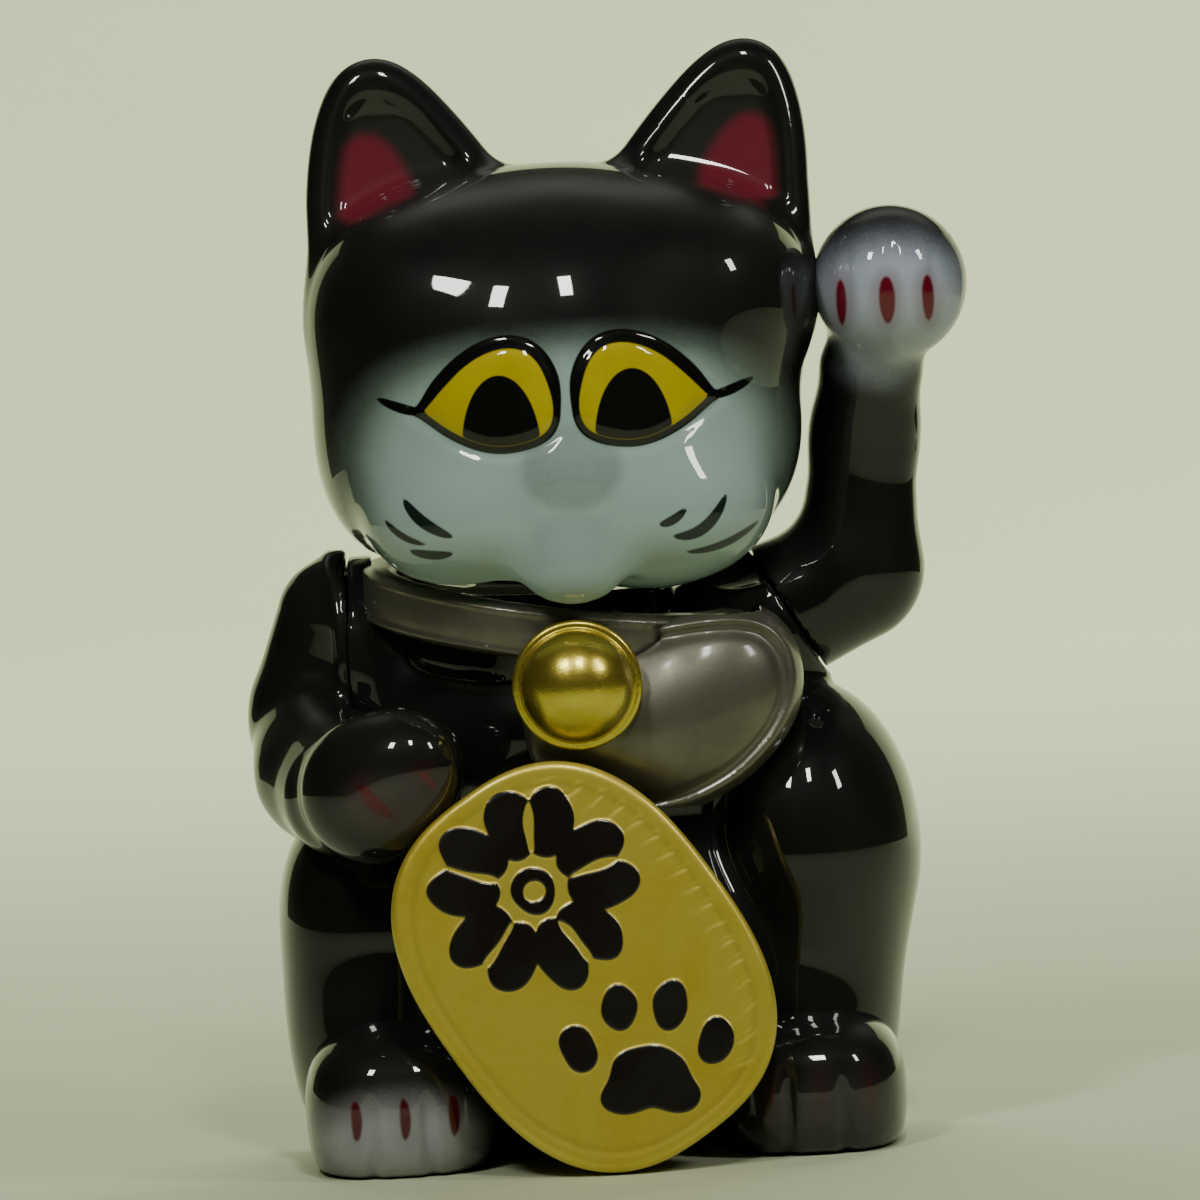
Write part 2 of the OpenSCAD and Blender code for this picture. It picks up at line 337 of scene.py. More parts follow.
def piece(name, field, low, high, step, fine=0, paint=None, place=None):
    """Builds the mesh object for one field. paint gives named numbers at each point."""
    points, quads = contour(field, low, high, step)
    points = relax(field, points, quads, 3)
    for _ in range(fine):
        points, quads = split(points, quads)
        points = relax(field, points, quads, 1)
    points = settle(field, points, 2)
    marks = paint(points) if paint else {}
    if place is not None:
        points = points @ np.array(place.to_3x3()).T + np.array(place.translation)
    mesh = bpy.data.meshes.new(name)
    mesh.from_pydata((points * MM).tolist(), [], quads.tolist())
    mesh.polygons.foreach_set("use_smooth", np.ones(len(quads), bool))
    for label, numbers in marks.items():
        layer = mesh.attributes.new(label, "FLOAT", "POINT")
        layer.data.foreach_set("value", np.asarray(numbers, np.float32))
    mesh.update()
    made = bpy.data.objects.new(name, mesh)
    bpy.context.scene.collection.objects.link(made)
    return made


# ---- materials

def rgb(r, g, b):
    """A colour given as it looks on screen, from 0 to 255, as the shader takes it."""
    return tuple(((c / 255 + 0.055) / 1.055) ** 2.4 if c > 10 else c / 255 / 12.92
                 for c in (r, g, b)) + (1.0,)


class Shader:
    """A small helper that wires one Principled material."""

    def __init__(self, name, base, **constants):
        self.material = bpy.data.materials.new(name)
        self.material.use_nodes = True
        self.tree = self.material.node_tree
        self.surface = self.tree.nodes["Principled BSDF"]
        self.colour = self.constant_colour(base)
        for socket, value in constants.items():
            self.surface.inputs[socket.replace("_", " ")].default_value = value
        self.place = self.tree.nodes.new("ShaderNodeTexCoord").outputs["Object"]

    def constant_colour(self, value):
        node = self.tree.nodes.new("ShaderNodeRGB")
        node.outputs[0].default_value = value
        return node.outputs[0]

    def link(self, a, b):
        self.tree.links.new(a, b)

    def math(self, operation, a, b=0.0, clamp=False):
        node = self.tree.nodes.new("ShaderNodeMath")
        node.operation, node.use_clamp = operation, clamp
        for socket, value in zip(node.inputs, (a, b)):
            if isinstance(value, (int, float)):
                socket.default_value = value
            else:
                self.link(value, socket)
        return node.outputs[0]

    def noise(self, per_mm, detail=3.0, rough=0.5, warp=0.0):
        node = self.tree.nodes.new("ShaderNodeTexNoise")
        self.link(self.place, node.inputs["Vector"])
        node.inputs["Scale"].default_value = per_mm / MM
        node.inputs["Detail"].default_value = detail
        node.inputs["Roughness"].default_value = rough
        node.inputs["Distortion"].default_value = warp
        return node.outputs["Fac"]

    def mark(self, label):
        node = self.tree.nodes.new("ShaderNodeAttribute")
        node.attribute_name = label
        return node.outputs["Fac"]

    def ramp(self, value, low, high, to_low=0.0, to_high=1.0):
        node = self.tree.nodes.new("ShaderNodeMapRange")
        node.interpolation_type = "SMOOTHSTEP"
        self.link(value, node.inputs["Value"])
        for socket, number in zip(("From Min", "From Max", "To Min", "To Max"),
                                  (low, high, to_low, to_high)):
            node.inputs[socket].default_value = number
        return node.outputs["Result"]

    def inside(self, label, grow=0.0, soft=0.12):
        """1 where the named distance is below grow, with a crisp edge."""
        return self.ramp(self.mark(label), grow - soft, grow + soft, 1.0, 0.0)

    def tint(self, share, colour):
        """Lays a colour over what is there."""
        node = self.tree.nodes.new("ShaderNodeMix")
        node.data_type = "RGBA"
        self.link(share, node.inputs["Factor"])
        self.link(self.colour, node.inputs["A"])
        if isinstance(colour, tuple):
            node.inputs["B"].default_value = colour
        else:
            self.link(colour, node.inputs["B"])
        self.colour = node.outputs["Result"]

    def bumps(self, *layers):
        """Each layer is (height output, depth in mm)."""
        normal = None
        for height, depth in layers:
            node = self.tree.nodes.new("ShaderNodeBump")
            node.inputs["Distance"].default_value = depth * MM
            self.link(height, node.inputs["Height"])
            if normal is not None:
                self.link(normal, node.inputs["Normal"])
            normal = node.outputs["Normal"]
        self.link(normal, self.surface.inputs["Normal"])

    def done(self, roughness=None, metallic=None):
        self.link(self.colour, self.surface.inputs["Base Color"])
        if roughness is not None:
            self.link(roughness, self.surface.inputs["Roughness"])
        if metallic is not None:
            self.link(metallic, self.surface.inputs["Metallic"])
        return self.material


BLACK = rgb(22, 22, 21)
SOOT = rgb(34, 34, 32)
MIST = rgb(163, 187, 183)
DEEP_MIST = rgb(112, 128, 121)
YELLOW = rgb(196, 178, 4)
CRIMSON = rgb(110, 34, 46)
WINE = rgb(104, 16, 36)
DARK_WINE = rgb(78, 16, 28)
GOLD = rgb(222, 202, 82)
INK = rgb(24, 20, 14)
GUNMETAL = rgb(116, 114, 99)


def lacquer(shader):
    """The gloss finish all over: faint orange peel and soft waves, over a patchy haze in the
    roughness.
    """
    peel = shader.noise(0.55, 2.0)
    wave = shader.noise(0.09, 2.0)
    shader.bumps((wave, 0.06), (peel, 0.010))
    haze = shader.noise(0.07, 4.0, 0.6, 0.4)
    return shader.ramp(haze, 0.35, 0.75, 0.35, 0.5)


def vinyl_shader(name):
    shader = Shader(name, BLACK, Coat_Weight=1.0, Coat_Roughness=0.03, Coat_IOR=1.5,
                    Specular_IOR_Level=0.05)
    shade = shader.noise(0.05, 3.0)
    shader.tint(shader.ramp(shade, 0.35, 0.7, 0.0, 0.55), SOOT)
    return shader


def air(shader, label, colour, strength=1.0):
    """Airbrushed paint: soft edges with a fine spatter where it thins out."""
    spatter = shader.noise(2.2, 2.0, 0.6)
    cloud = shader.noise(0.16, 3.0)
    share = shader.mark(label)
    edge = shader.math("MULTIPLY", share, shader.math("SUBTRACT", 1.0, share))
    grain = shader.math("MULTIPLY", edge, shader.math("SUBTRACT", spatter, 0.5))
    drift = shader.math("MULTIPLY", edge, shader.math("SUBTRACT", cloud, 0.5))
    share = shader.math("ADD", share, shader.math("MULTIPLY", grain, 1.1))
    share = shader.math("ADD", share, shader.math("MULTIPLY", drift, 1.3))
    shader.tint(shader.math("MULTIPLY", share, strength, clamp=True), colour)


def head_material():
    shader = vinyl_shader("head_paint")
    air(shader, "ear_shade", rgb(38, 40, 34))
    air(shader, "ear_red", CRIMSON, 0.95)
    air(shader, "mist_wide", DEEP_MIST, 0.9)
    air(shader, "mist", MIST, 0.95)
    shader.tint(shader.inside("whisker"), rgb(26, 38, 36))
    eye = shader.inside("eye")
    iris = shader.noise(0.2, 3.0)
    shader.tint(eye, YELLOW)
    shader.tint(shader.math("MULTIPLY", eye, shader.ramp(iris, 0.3, 0.8, 0.0, 0.35)),
                rgb(168, 140, 6))
    shader.tint(shader.math("MULTIPLY", eye, shader.inside("pupil")), rgb(16, 16, 13))
    shader.tint(shader.inside("eye_line"), rgb(14, 14, 12))
    return shader.done(lacquer(shader))


def body_material():
    shader = vinyl_shader("body_paint")
    return shader.done(lacquer(shader))


def paw_material(name, pale, claw):
    shader = vinyl_shader(name)
    air(shader, "pale", pale, 0.9)
    air(shader, "blush", claw, 0.35)
    shader.tint(shader.inside("claw", 0.0, 0.22), claw)
    return shader.done(lacquer(shader))


def gunmetal_material(name):
    shader = Shader(name, GUNMETAL, Metallic=0.6, Coat_Weight=0.5, Coat_Roughness=0.12)
    shade = shader.noise(0.12, 4.0, 0.6)
    shader.tint(shader.ramp(shade, 0.3, 0.75), rgb(94, 92, 79))
    fleck = shader.noise(3.0, 2.0, 0.7)
    shader.tint(shader.ramp(fleck, 0.62, 0.75, 0.0, 0.25), rgb(168, 165, 144))
    shader.bumps((shader.noise(0.1, 2.0), 0.1), (shader.noise(1.4, 2.0), 0.012))
    return shader.done(shader.ramp(shade, 0.3, 0.8, 0.36, 0.5))


def gold_material(name, inked=False):
    shader = Shader(name, GOLD, Coat_Weight=0.35, Coat_Roughness=0.15 if inked else 0.3)
    patches = shader.noise(0.06, 4.0, 0.6, 0.6)
    shader.tint(shader.ramp(patches, 0.35, 0.75), rgb(196, 172, 52))
    fleck = shader.noise(2.6, 2.0, 0.7)
    shader.tint(shader.ramp(fleck, 0.6, 0.78, 0.0, 0.3), rgb(236, 220, 116))
    shader.bumps((shader.noise(0.14, 2.0), 0.12), (shader.noise(1.6, 3.0), 0.03))
    if not inked:
        shader.surface.inputs["Metallic"].default_value = 0.9
        return shader.done(shader.ramp(patches, 0.3, 0.8, 0.26, 0.34))
    rough = shader.ramp(patches, 0.3, 0.8, 0.36, 0.5)
    ink = shader.inside("ink")
    # Painted shade: the gold is darkened a little along the groove at the foot of the raised
    # rim.
    rim = shader.inside("groove", 0.0, 0.5)
    shader.tint(shader.math("MULTIPLY", rim, 0.2), rgb(104, 80, 18))
    shader.tint(ink, INK)
    metal = shader.math("MULTIPLY", shader.math("SUBTRACT", 1.0, ink), 0.55)
    rough = shader.math("SUBTRACT", rough, shader.math("MULTIPLY", ink, 0.12))
    return shader.done(rough, metal)


# ---- head

EYE = Chart(
    lambda x, z: polygon(x, z, rounded([
        (18.9, 96.9), (18.3, 97.1), (15.6, 100.6), (12.2, 103.6), (8.2, 105.2), (4.6, 104.8),
        (2.2, 102.2), (1.2, 98.0), (1.6, 94.0), (4.4, 92.2), (9.4, 91.6), (14.4, 93.6),
        (18.3, 96.7)])),
    (-4, 86), (30, 112))
PUPIL_MID = vec(8.4, 91.8)
PUPIL_HALF = (5.0, 9.3)


def face_xz(p):
    return p[:, 0] - FACE_X, p[:, 2]


def eye_fields(p):
    """Distances from the eyes, the pupils and their outlines, on the front of the head."""
    x, z = face_xz(p)
    x = np.abs(x)
    eye = EYE(x, z)
    pupil = smooth_max(ellipse(x, z, PUPIL_MID, PUPIL_HALF), eye + 0.3, 0.3)
    line = np.abs(eye - 0.2) - 0.5 - 0.35 * fade(z, 96, 101)
    lash = stroke(x, z, (17.8, 96.8), (20.6, 97.0), (24.0, 98.8), 1.3)
    return eye, pupil, np.minimum(line, lash)


COLLAR_LOW, COLLAR_HIGH = corners_mm("collar")
COLLAR_R = (COLLAR_HIGH[1] - COLLAR_LOW[1]) / 2
COLLAR_MID = vec(-2.5, (COLLAR_HIGH[1] + COLLAR_LOW[1]) / 2, 69.6)
COLLAR_TURN = np.array(Matrix.Rotation(math.radians(9), 3, "Y")
                       @ Matrix.Rotation(math.radians(5), 3, "X"))
COLLAR_HALF = 3.4
COLLAR_CLEAR = 0.7
NECK_SWING = math.radians(36)   # a degree more than the neck turns
CHEEK_MID = vec(10.5, -17.6, 82.4)


def turned(p, angle):
    """Points as they lie for a head turned by an angle about the neck."""
    c, s = math.cos(angle), math.sin(angle)
    x, y = p[:, 0] - NECK[0], p[:, 1] - NECK[1]
    return np.stack([NECK[0] + c * x + s * y, NECK[1] - s * x + c * y, p[:, 2]], -1)


def collar_sweep(p):
    """The room under the head that the collar needs as the head turns."""
    x, y = p[:, 0] - COLLAR_MID[0], p[:, 1] - COLLAR_MID[1]
    r = np.hypot(x, y)
    rise = np.hypot(COLLAR_TURN[2, 0], COLLAR_TURN[2, 1])
    high = math.atan2(-COLLAR_TURN[1, 2], -COLLAR_TURN[0, 2])
    off = np.abs((np.arctan2(y, x) - high + math.pi) % (2 * math.pi) - math.pi)
    top = COLLAR_MID[2] + COLLAR_HALF + COLLAR_CLEAR
    top = top + r * rise * np.cos(np.maximum(off - NECK_SWING, 0))
    return np.maximum(p[:, 2] - top, r - 27.2)


def skull(p):
    q = p - SKULL_MID
    across = np.hypot(q[:, 0], q[:, 1] * 1.04) / SKULL_R
    above = q[:, 2] > 0
    power = np.where(above, 2.3, 2.8)
    tall = np.abs(q[:, 2]) / np.where(above, SKULL_UP, SKULL_DOWN)
    return ((across**power + tall**power) ** (1 / power) - 1) * 27


EAR_ROUND = 4.2
EAR = Chart(
    lambda x, z: polygon(x, z, rounded([
        (28.2, 100), (28.5, 119), (28.3, 129.5), (26.6, 136.4), (24.2, 138.6), (20.6, 136.6),
        (15.8, 131.4), (11.0, 125.2), (6.6, 118.6), (3.0, 108)])) - EAR_ROUND,
    (-45, 60), (75, 165))


def ear_sides(p):
    """How far each point is sideways from midway between the ears, which lean a little."""
    return np.abs(p[:, 0] - EAR_X - 0.05 * np.maximum(p[:, 2] - 124, 0))


def ear(p):
    """Both ears: rounded plates, dished in front above a ledge."""
    x, z = ear_sides(p), p[:, 2]
    outline = EAR(x, z)
    thick = 3.6 + 4.6 * fade(z, 140, 110)
    depth = p[:, 1] - (1.4 + 0.03 * (z - 120))
    dish = 1.7 * fade(outline, -2.3, -5.4) * fade(z, 119.5, 122.5) * fade(z, 139, 134)
    slab = np.where(depth < 0, -depth - (thick - dish), depth - thick)
    return round_corner(outline, slab, 3.0)


def muzzle(p):
    """Nose, muzzle and chin, cut to a round behind so that they swing past the collar."""
    total = smooth_min(egg(p, vec(0, -22.6, 83), (10.0, 8.2, 9.4)),
                       egg(p, vec(-0.3, -25.4, 76.8), (7.6, 6.2, 6.2)), 3.0)
    total = smooth_min(total, egg(p, vec(0.2, -26.2, 87.6), (6.2, 5.6, 5.4)), 1.6)
    rim = np.linalg.norm(p[:, :2] - NECK[:2], axis=-1)
    return smooth_max(total, -np.maximum(rim - 28.0, p[:, 2] - 77.0), 1.4)


def head_field(p):
    x, z = face_xz(p)
    brow = np.stack([ear_sides(p), p[:, 1], z], -1)
    brow = egg(brow, vec(18.4, -3.5, 110.5), (13.6, 18.5, 12.4))
    total = smooth_min(smooth_min(skull(p), brow, 7.0), ear(p), 2.4)
    q = np.stack([np.abs(x), p[:, 1], z], -1)
    total = smooth_min(total, egg(q, CHEEK_MID, (14.5, 12.2, 9.6)), 6.0)
    total = smooth_min(total, muzzle(p), 3.0)
    total = smooth_max(total, -collar_sweep(p), 1.0)
    front = fade(p[:, 1], -8, -16)
    eye, _, _ = eye_fields(p)
    total = total - front * 0.5 * fade(eye, 0.6, -1.6)
    return total + front * 0.22 * fade(np.abs(eye - 0.9), 1.3, 0.0)


EAR_PATCH = Chart(
    lambda x, z: polygon(x, z, rounded([
        (16.2, 118.5), (28.4, 118.5), (28.2, 128.6), (27.0, 132.2), (23.4, 132.6),
        (19.6, 128.4)], 2)),
    (0, 100), (45, 150))
WHISKERS = [  # start, bend and end of each stroke, on the face, and its width
    ((12.6, 79.6), (17.0, 78.8), (19.6, 84.4), 1.5),
    ((11.0, 81.2), (12.6, 81.2), (14.4, 83.0), 1.2),
    ((14.2, 77.4), (19.0, 77.2), (23.6, 80.6), 1.0),
    ((-21.2, 86.0), (-19.6, 82.6), (-15.2, 81.0), 1.5),
    ((-20.8, 79.4), (-18.0, 78.4), (-15.4, 78.9), 1.2),
    ((-23.8, 83.4), (-22.0, 80.8), (-18.8, 80.2), 0.9),
]


def head_paint(p):
    x, z = face_xz(p)
    front = fade(p[:, 1], -2, -9)
    eye, pupil, line = eye_fields(p)
    off = np.where(p[:, 1] > -10, FAR, 0.0)
    lift = z - 86
    reach = ((np.abs(x) / 29.0) ** 2.8 + (np.abs(lift) / np.where(lift > 0, 19.8, 17.5)) ** 2.8)
    reach = reach ** (1 / 2.8)
    nose = ellipse(x, z, (0.2, 88.9), (6.4, 5.4))
    chin = ellipse(x, z, (0, 77), (7.4, 6.6))
    middle = np.maximum(fade(nose, 0.9, -0.9), 0.5 * fade(chin, 1.5, -2.0))
    mist = front * fade(reach, 0.99, 0.76) * (1 - 0.4 * middle)
    whisker = np.min([stroke(x, z, *w) for w in WHISKERS], axis=0)
    side = ear_sides(p)
    outline = EAR(side, z)
    patch = EAR_PATCH(side, z)
    ear_front = fade(p[:, 1], 2, -0.5) * fade(p[:, 1], -13, -8) * fade(z, 120.8, 122.0)
    return {
        "eye": eye + off, "pupil": pupil + off, "eye_line": line + off,
        "mist": mist, "mist_wide": front * fade(reach, 1.13, 0.86),
        "whisker": whisker + off,
        "ear_shade": ear_front * fade(outline, -2.2, -4.8),
        "ear_red": ear_front * fade(patch, 1.1, -1.1),
    }


# ---- body

def legs(p):
    """The haunch under the raised arm, and the one under the lowered arm."""
    high = smooth_min(egg(p, vec(28.2, -1, 37.5), (14.8, 21, 21.4)),
                      egg(p, vec(26.4, -5, 13), (12.0, 16, 15)), 10)
    low = smooth_min(pillow(p, vec(-26.8, 1, 29), (14.3, 20, 18), 2.6),
                     egg(p, vec(-27.4, -5, 12), (12.4, 16, 14)), 7)
    return high, low


PAD_R = 13.0
RAISED_BOSS_R = 8.2
LOWERED_BOSS_R = 11.4


def collar_local(p):
    """Points as the collar has them: its axis is z. It hangs low in front and on one side."""
    return (p - COLLAR_MID) @ COLLAR_TURN


def seam_local(p, seam, axis):
    """Distance out from a seam's axis, and distance along it."""
    along = plane(p, seam, axis)
    out = np.linalg.norm(p - seam - along[:, None] * axis, axis=-1)
    return out, along


def seam_end(p, seam, axis, boss_r):
    """Where the body stops at an arm: just short of the seam, but for a boss in the middle."""
    out, along = seam_local(p, seam, axis)
    return along - 0.1 - 0.9 * fade(out, boss_r, boss_r - 1.4)


def seam_start(p, seam, axis, boss_r):
    """Where the arm starts: past the seam, with a recess for the body's boss."""
    out, along = seam_local(p, seam, axis)
    return SEAM_GAP + fade(out, boss_r + 0.6, boss_r - 0.8) - along


def flat_back(p):
    """Points for the raised arm and its shoulder, flattened behind, near the turned jaw."""
    q = p.copy()
    q[:, 1] = np.where(q[:, 1] > 5, 5 + 1.18 * (q[:, 1] - 5), q[:, 1])
    return q


def torso(p):
    """Chest and hips with both shoulders; right and left are the viewer's."""
    chest = egg(p, vec(0, 0, 54.5), (27.0, 23.0, 15.5))
    hips = egg(p, vec(0, -1, 22), (30.0, 25.5, 27))
    total = smooth_min(chest, hips, 12)
    right = limb(flat_back(p), vec(13, 2, 57), RAISED_SEAM + 2 * RAISED_AXIS, 13, 9.8)
    right = smooth_max(right, seam_end(p, RAISED_SEAM, RAISED_AXIS, RAISED_BOSS_R), 0.3)
    left = limb(p, vec(-13, 3, 56), LOWERED_SEAM + 2 * LOWERED_AXIS, 13, 12.8)
    left = smooth_max(left, plane(p, LOWERED_SEAM + 0.1 * LOWERED_AXIS, LOWERED_AXIS), 0.5)
    shoulders = smooth_min(total, left, 4)
    under = collar_local(p)[:, 2] + COLLAR_HALF + 0.1
    out, along = seam_local(p, LOWERED_SEAM, LOWERED_AXIS)
    end = seam_end(p, LOWERED_SEAM, LOWERED_AXIS, LOWERED_BOSS_R)
    pad = smooth_max(out - PAD_R + 0.3, np.maximum(end, -along - 3.1), 0.5)
    shoulders = smooth_min(smooth_max(shoulders, under, 1.2), pad, 1.0)
    return smooth_min(shoulders, right, 4)


def body_field(p):
    high, low = legs(p)
    total = smooth_min(smooth_min(torso(p), high, 2.5), low, 2.5)
    q = collar_local(p)
    stub = smooth_max(np.hypot(q[:, 0], q[:, 1]) - 21.6, q[:, 2] - 0.6, 1.5)
    behind = 0.6 + 6.0 * fade(p[:, 1], 2, 10)
    total = smooth_min(total, smooth_max(stub, -q[:, 2] - 8, 2.0), behind)
    rim = np.linalg.norm(p[:, :2] - NECK[:2], axis=-1)
    neck = np.maximum(rim - 13.8, np.abs(p[:, 2] - 65.6) - 6.7)
    total = smooth_min(total, neck, 1.0)
    for share in (0.3, 0.65, 1.0):
        cheek = egg(turned(p, share * NECK_SWING), CHEEK_MID, (16.4, 14.3, 11.6))
        total = smooth_max(total, -cheek, 0.8)
    return smooth_max(total, -p[:, 2], 1.6)


def foot_field(p, at, half):
    total = pillow(p, at, half, 2.7)
    for x in (-0.36, 0.36):
        cut = np.abs(p[:, 0] - at[0] - x * half[0] * (1 + 0.012 * (p[:, 1] - at[1])))
        toe = fade(cut, 1.5, 0.0) * fade(p[:, 1], at[1] - 7, at[1] - 14)
        total = total + 0.7 * toe * fade(p[:, 2], 13, 8)
    return smooth_max(total, -p[:, 2], 1.4)


FEET = {
    "left_foot": (vec(26.8, -14, 6.8), vec(12.1, 17, 10.9)),
    "right_foot": (vec(-26.0, -14.5, 7.6), vec(12.4, 17, 11.8)),
}


def claw_marks(x, z, front, strokes):
    """The distance from the claw marks, which show only on the front of a paw."""
    claw = np.min([np.full(x.shape, FAR)] + [stroke(x, z, *mark) for mark in strokes], axis=0)
    return claw + np.where(front < 0.3, FAR, 0.0)


def foot_paint(name):
    at, _ = FEET[name]
    strong = name == "right_foot"

    def paint(p):
        x, z = p[:, 0] - at[0], p[:, 2]
        front = fade(p[:, 1], at[1] - 2, at[1] - 10)
        pale = front * fade(ellipse(x, z, (0, 4.5), (11.5, 6.5)), 2.5, -4.0)
        claw = claw_marks(x, z, front, [((spot, 10.4), (spot + 0.3, 8), (spot, 5.2), 1.4)
                                        for spot in (-5.6, 0.6, 6.8)])
        return {
            "pale": pale * (0.9 if strong else 0.04),
            "claw": claw + (0.0 if strong else 0.55),
            "blush": front * fade(claw, 2.0, 0.0) * 0.4,
        }

    return paint


# ---- arms

def raised_arm_field(p):
    """Shoulder, elbow, forearm and paw. At rest it goes almost a millimetre into the head."""
    q = flat_back(p)
    total = blend_all([
        limb(q, RAISED_SEAM - 2 * RAISED_AXIS, vec(36.0, 5, 71.4), 9.4, 8.6),
        limb(q, vec(36.9, 5.2, 73.6), vec(38.7, 4.5, 90), 8.2, 6.5),
        limb(p, vec(38.7, 4.5, 90), vec(39.9, 1.4, 98.5), 6.5, 6.8),
        egg(p, vec(42.7, -3.8, 109.6), (10.0, 9.7, 10.1)),
    ], 3.5)
    for shift in (-4.2, 1.6, 7.0):
        gap = np.abs(p[:, 0] - 40.9 - shift - 0.06 * (p[:, 2] - 108))
        toe = fade(gap, 1.2, 0.0) * fade(p[:, 1], -9, -12.5) * fade(p[:, 2], 104, 107)
        total = total + 0.28 * toe * fade(p[:, 2], 116, 113)
    return smooth_max(total, seam_start(p, RAISED_SEAM, RAISED_AXIS, RAISED_BOSS_R), 0.3)


def raised_arm_paint(p):
    x, z = p[:, 0], p[:, 2]
    front = fade(p[:, 1], -1, -7)
    pale = front * fade(ellipse(x, z, (42.5, 106.0), (11.0, 9.0)), 3.5, -4.0)
    claw = claw_marks(x, z, front, [((spot, 110.4), (spot, 108), (spot, 104.6), width)
                                    for spot, width in ((36.1, 1.3), (41.9, 2.1), (47.2, 1.6))])
    return {"pale": pale, "claw": claw, "blush": front * fade(claw, 2.0, 0.0)}


def lowered_arm_field(p):
    """Shoulder disc, upper arm and bent forearm. Its inner side sinks into the body at rest."""
    out, along = seam_local(p, LOWERED_SEAM, LOWERED_AXIS)
    face = smooth_max(out - (PAD_R - 0.3), np.abs(along - 1.0) - 0.8, 0.8)
    upper = blend_all([
        face,
        limb(p, vec(-31.4, 2.8, 70.0), vec(-34.2, 5.2, 59.5), 7.8, 8.8),
    ], 4)
    fore = blend_all([
        limb(p, vec(-34.3, 3, 55.6), vec(-33.2, -5, 50.6), 9.3, 9.1),
        limb(p, vec(-33.2, -5, 50.6), vec(-30.6, -16.0, 48.4), 9.1, 8.6),
        egg(p, vec(-26.8, -25.6, 49.4), (9.6, 8.2, 9.6)),
        egg(p, vec(-22.4, -27.8, 52.4), (7.1, 7.0, 7.0)),
    ], 3)
    start = seam_start(p, LOWERED_SEAM, LOWERED_AXIS, LOWERED_BOSS_R)
    past = smooth_min(start, PAD_R + 0.6 - out + 8 * fade(p[:, 1], -11, -6), 1.0)
    cheek = egg(turned(p, -NECK_SWING), CHEEK_MID * vec(-1, 1, 1), (16.0, 13.9, 11.2))
    return smooth_max(smooth_max(smooth_min(upper, fore, 3), past, 0.3), -cheek, 1.0)


def lowered_arm_paint(p):
    x, z = p[:, 0], p[:, 2]
    front = fade(p[:, 1], -16, -24)
    pale = front * fade(ellipse(x, z, (-25, 47.5), (6.5, 4.5)), 2.0, -3.0) * 0.4
    claw = claw_marks(x, z, front, [((-28.4, 50.6), (-27.2, 48.2), (-24.6, 46.4), 1.7),
                                    ((-21.0, 52.0), (-19.8, 51.0), (-18.8, 49.4), 1.0)])
    return {"pale": pale, "claw": claw, "blush": front * fade(claw, 2.4, 0.0) * 0.5}


# ---- trim

BELL_MID = middle_mm("bell")


def collar_field(p):
    q = collar_local(p)
    z = q[:, 2]
    out = np.hypot(q[:, 0], q[:, 1]) - (COLLAR_R - 2.3)
    crown = 0.5 * (1 - (z / COLLAR_HALF) ** 2)
    rim = 0.3 * fade(np.abs(np.abs(z) - 2.7), 0.7, 0.1)
    total = round_corner(np.abs(out) - (1.9 + crown + rim), np.abs(z) - COLLAR_HALF, 1.1)
    out, along = seam_local(p, RAISED_SEAM, RAISED_AXIS)
    total = smooth_max(total, np.minimum(11.0 - out, along + 16), 1.2)
    out, _ = seam_local(p, LOWERED_SEAM, LOWERED_AXIS)
    return smooth_max(total, 9.3 - out, 0.6)


BIB = Chart(
    lambda x, z: polygon(x, z, rounded([
        (-7.5, 66), (4, 68), (15, 70), (23.6, 69.6), (27.8, 65.6), (28.8, 60), (27.4, 54.6),
        (23.2, 49.4), (17.6, 45.4), (10, 42.8), (0, 43), (-6.5, 48), (-8, 57)])),
    (-30, 20), (50, 90))


def bib_field(p):
    """The puffed bib: full on the raised arm's side, with a raised hem along its edge."""
    puff = blend_all([
        egg(p, vec(-2, -14, 58), (12, 12.6, 12)),
        egg(p, vec(16.2, -11, 59), (14.6, 15.0, 14.2)),
        egg(p, vec(9.5, -13.6, 54), (14, 13.4, 12)),
        egg(p, vec(21.0, -8.5, 63), (9.6, 10.5, 9.0)),
    ], 5)
    outline = BIB(p[:, 0], p[:, 2])
    hem = 0.75 * np.exp(-(((outline + 1.5) / 0.8) ** 2)) * fade(p[:, 0], 2, 9)
    groove = 0.35 * np.exp(-(((outline + 3.0) / 0.8) ** 2)) * fade(p[:, 0], 2, 9)
    total = smooth_max(puff - hem + groove, outline, 1.4)
    under = smooth_min(torso(p), legs(p)[0], 2.5)
    total = smooth_max(total, -(under - 0.3), 0.8)
    q = collar_local(p)
    ring = np.maximum(-q[:, 2] - COLLAR_HALF - 0.1, np.hypot(q[:, 0], q[:, 1]) - COLLAR_R - 0.5)
    total = smooth_max(total, -ring, 0.6)
    _, along = seam_local(p, RAISED_SEAM, RAISED_AXIS)
    total = smooth_max(total, along + 0.2, 0.8)
    seat = np.hypot(p[:, 0] - BELL_MID[0], p[:, 2] - BELL_MID[2]) - 8.6
    return smooth_max(total, -np.maximum(seat, p[:, 1] + 27.1), 0.4)


def bell_field(p):
    """A dome over a thin rim, with a fine groove between them."""
    low, high = corners_mm("bell")
    rim_r = (high[0] - low[0]) / 2
    q = p - vec(BELL_MID[0], high[1] - 1.6, BELL_MID[2])
    across = np.hypot(q[:, 0], q[:, 2])
    dome = np.linalg.norm(q, axis=-1) - (rim_r - 1.1)
    rim = round_corner(across - rim_r, np.abs(q[:, 1] - 0.9) - 0.7, 0.6)
    total = smooth_min(dome, rim, 0.35)
    return smooth_max(total, q[:, 1] - 1.6, 0.3)


# ---- gold plate

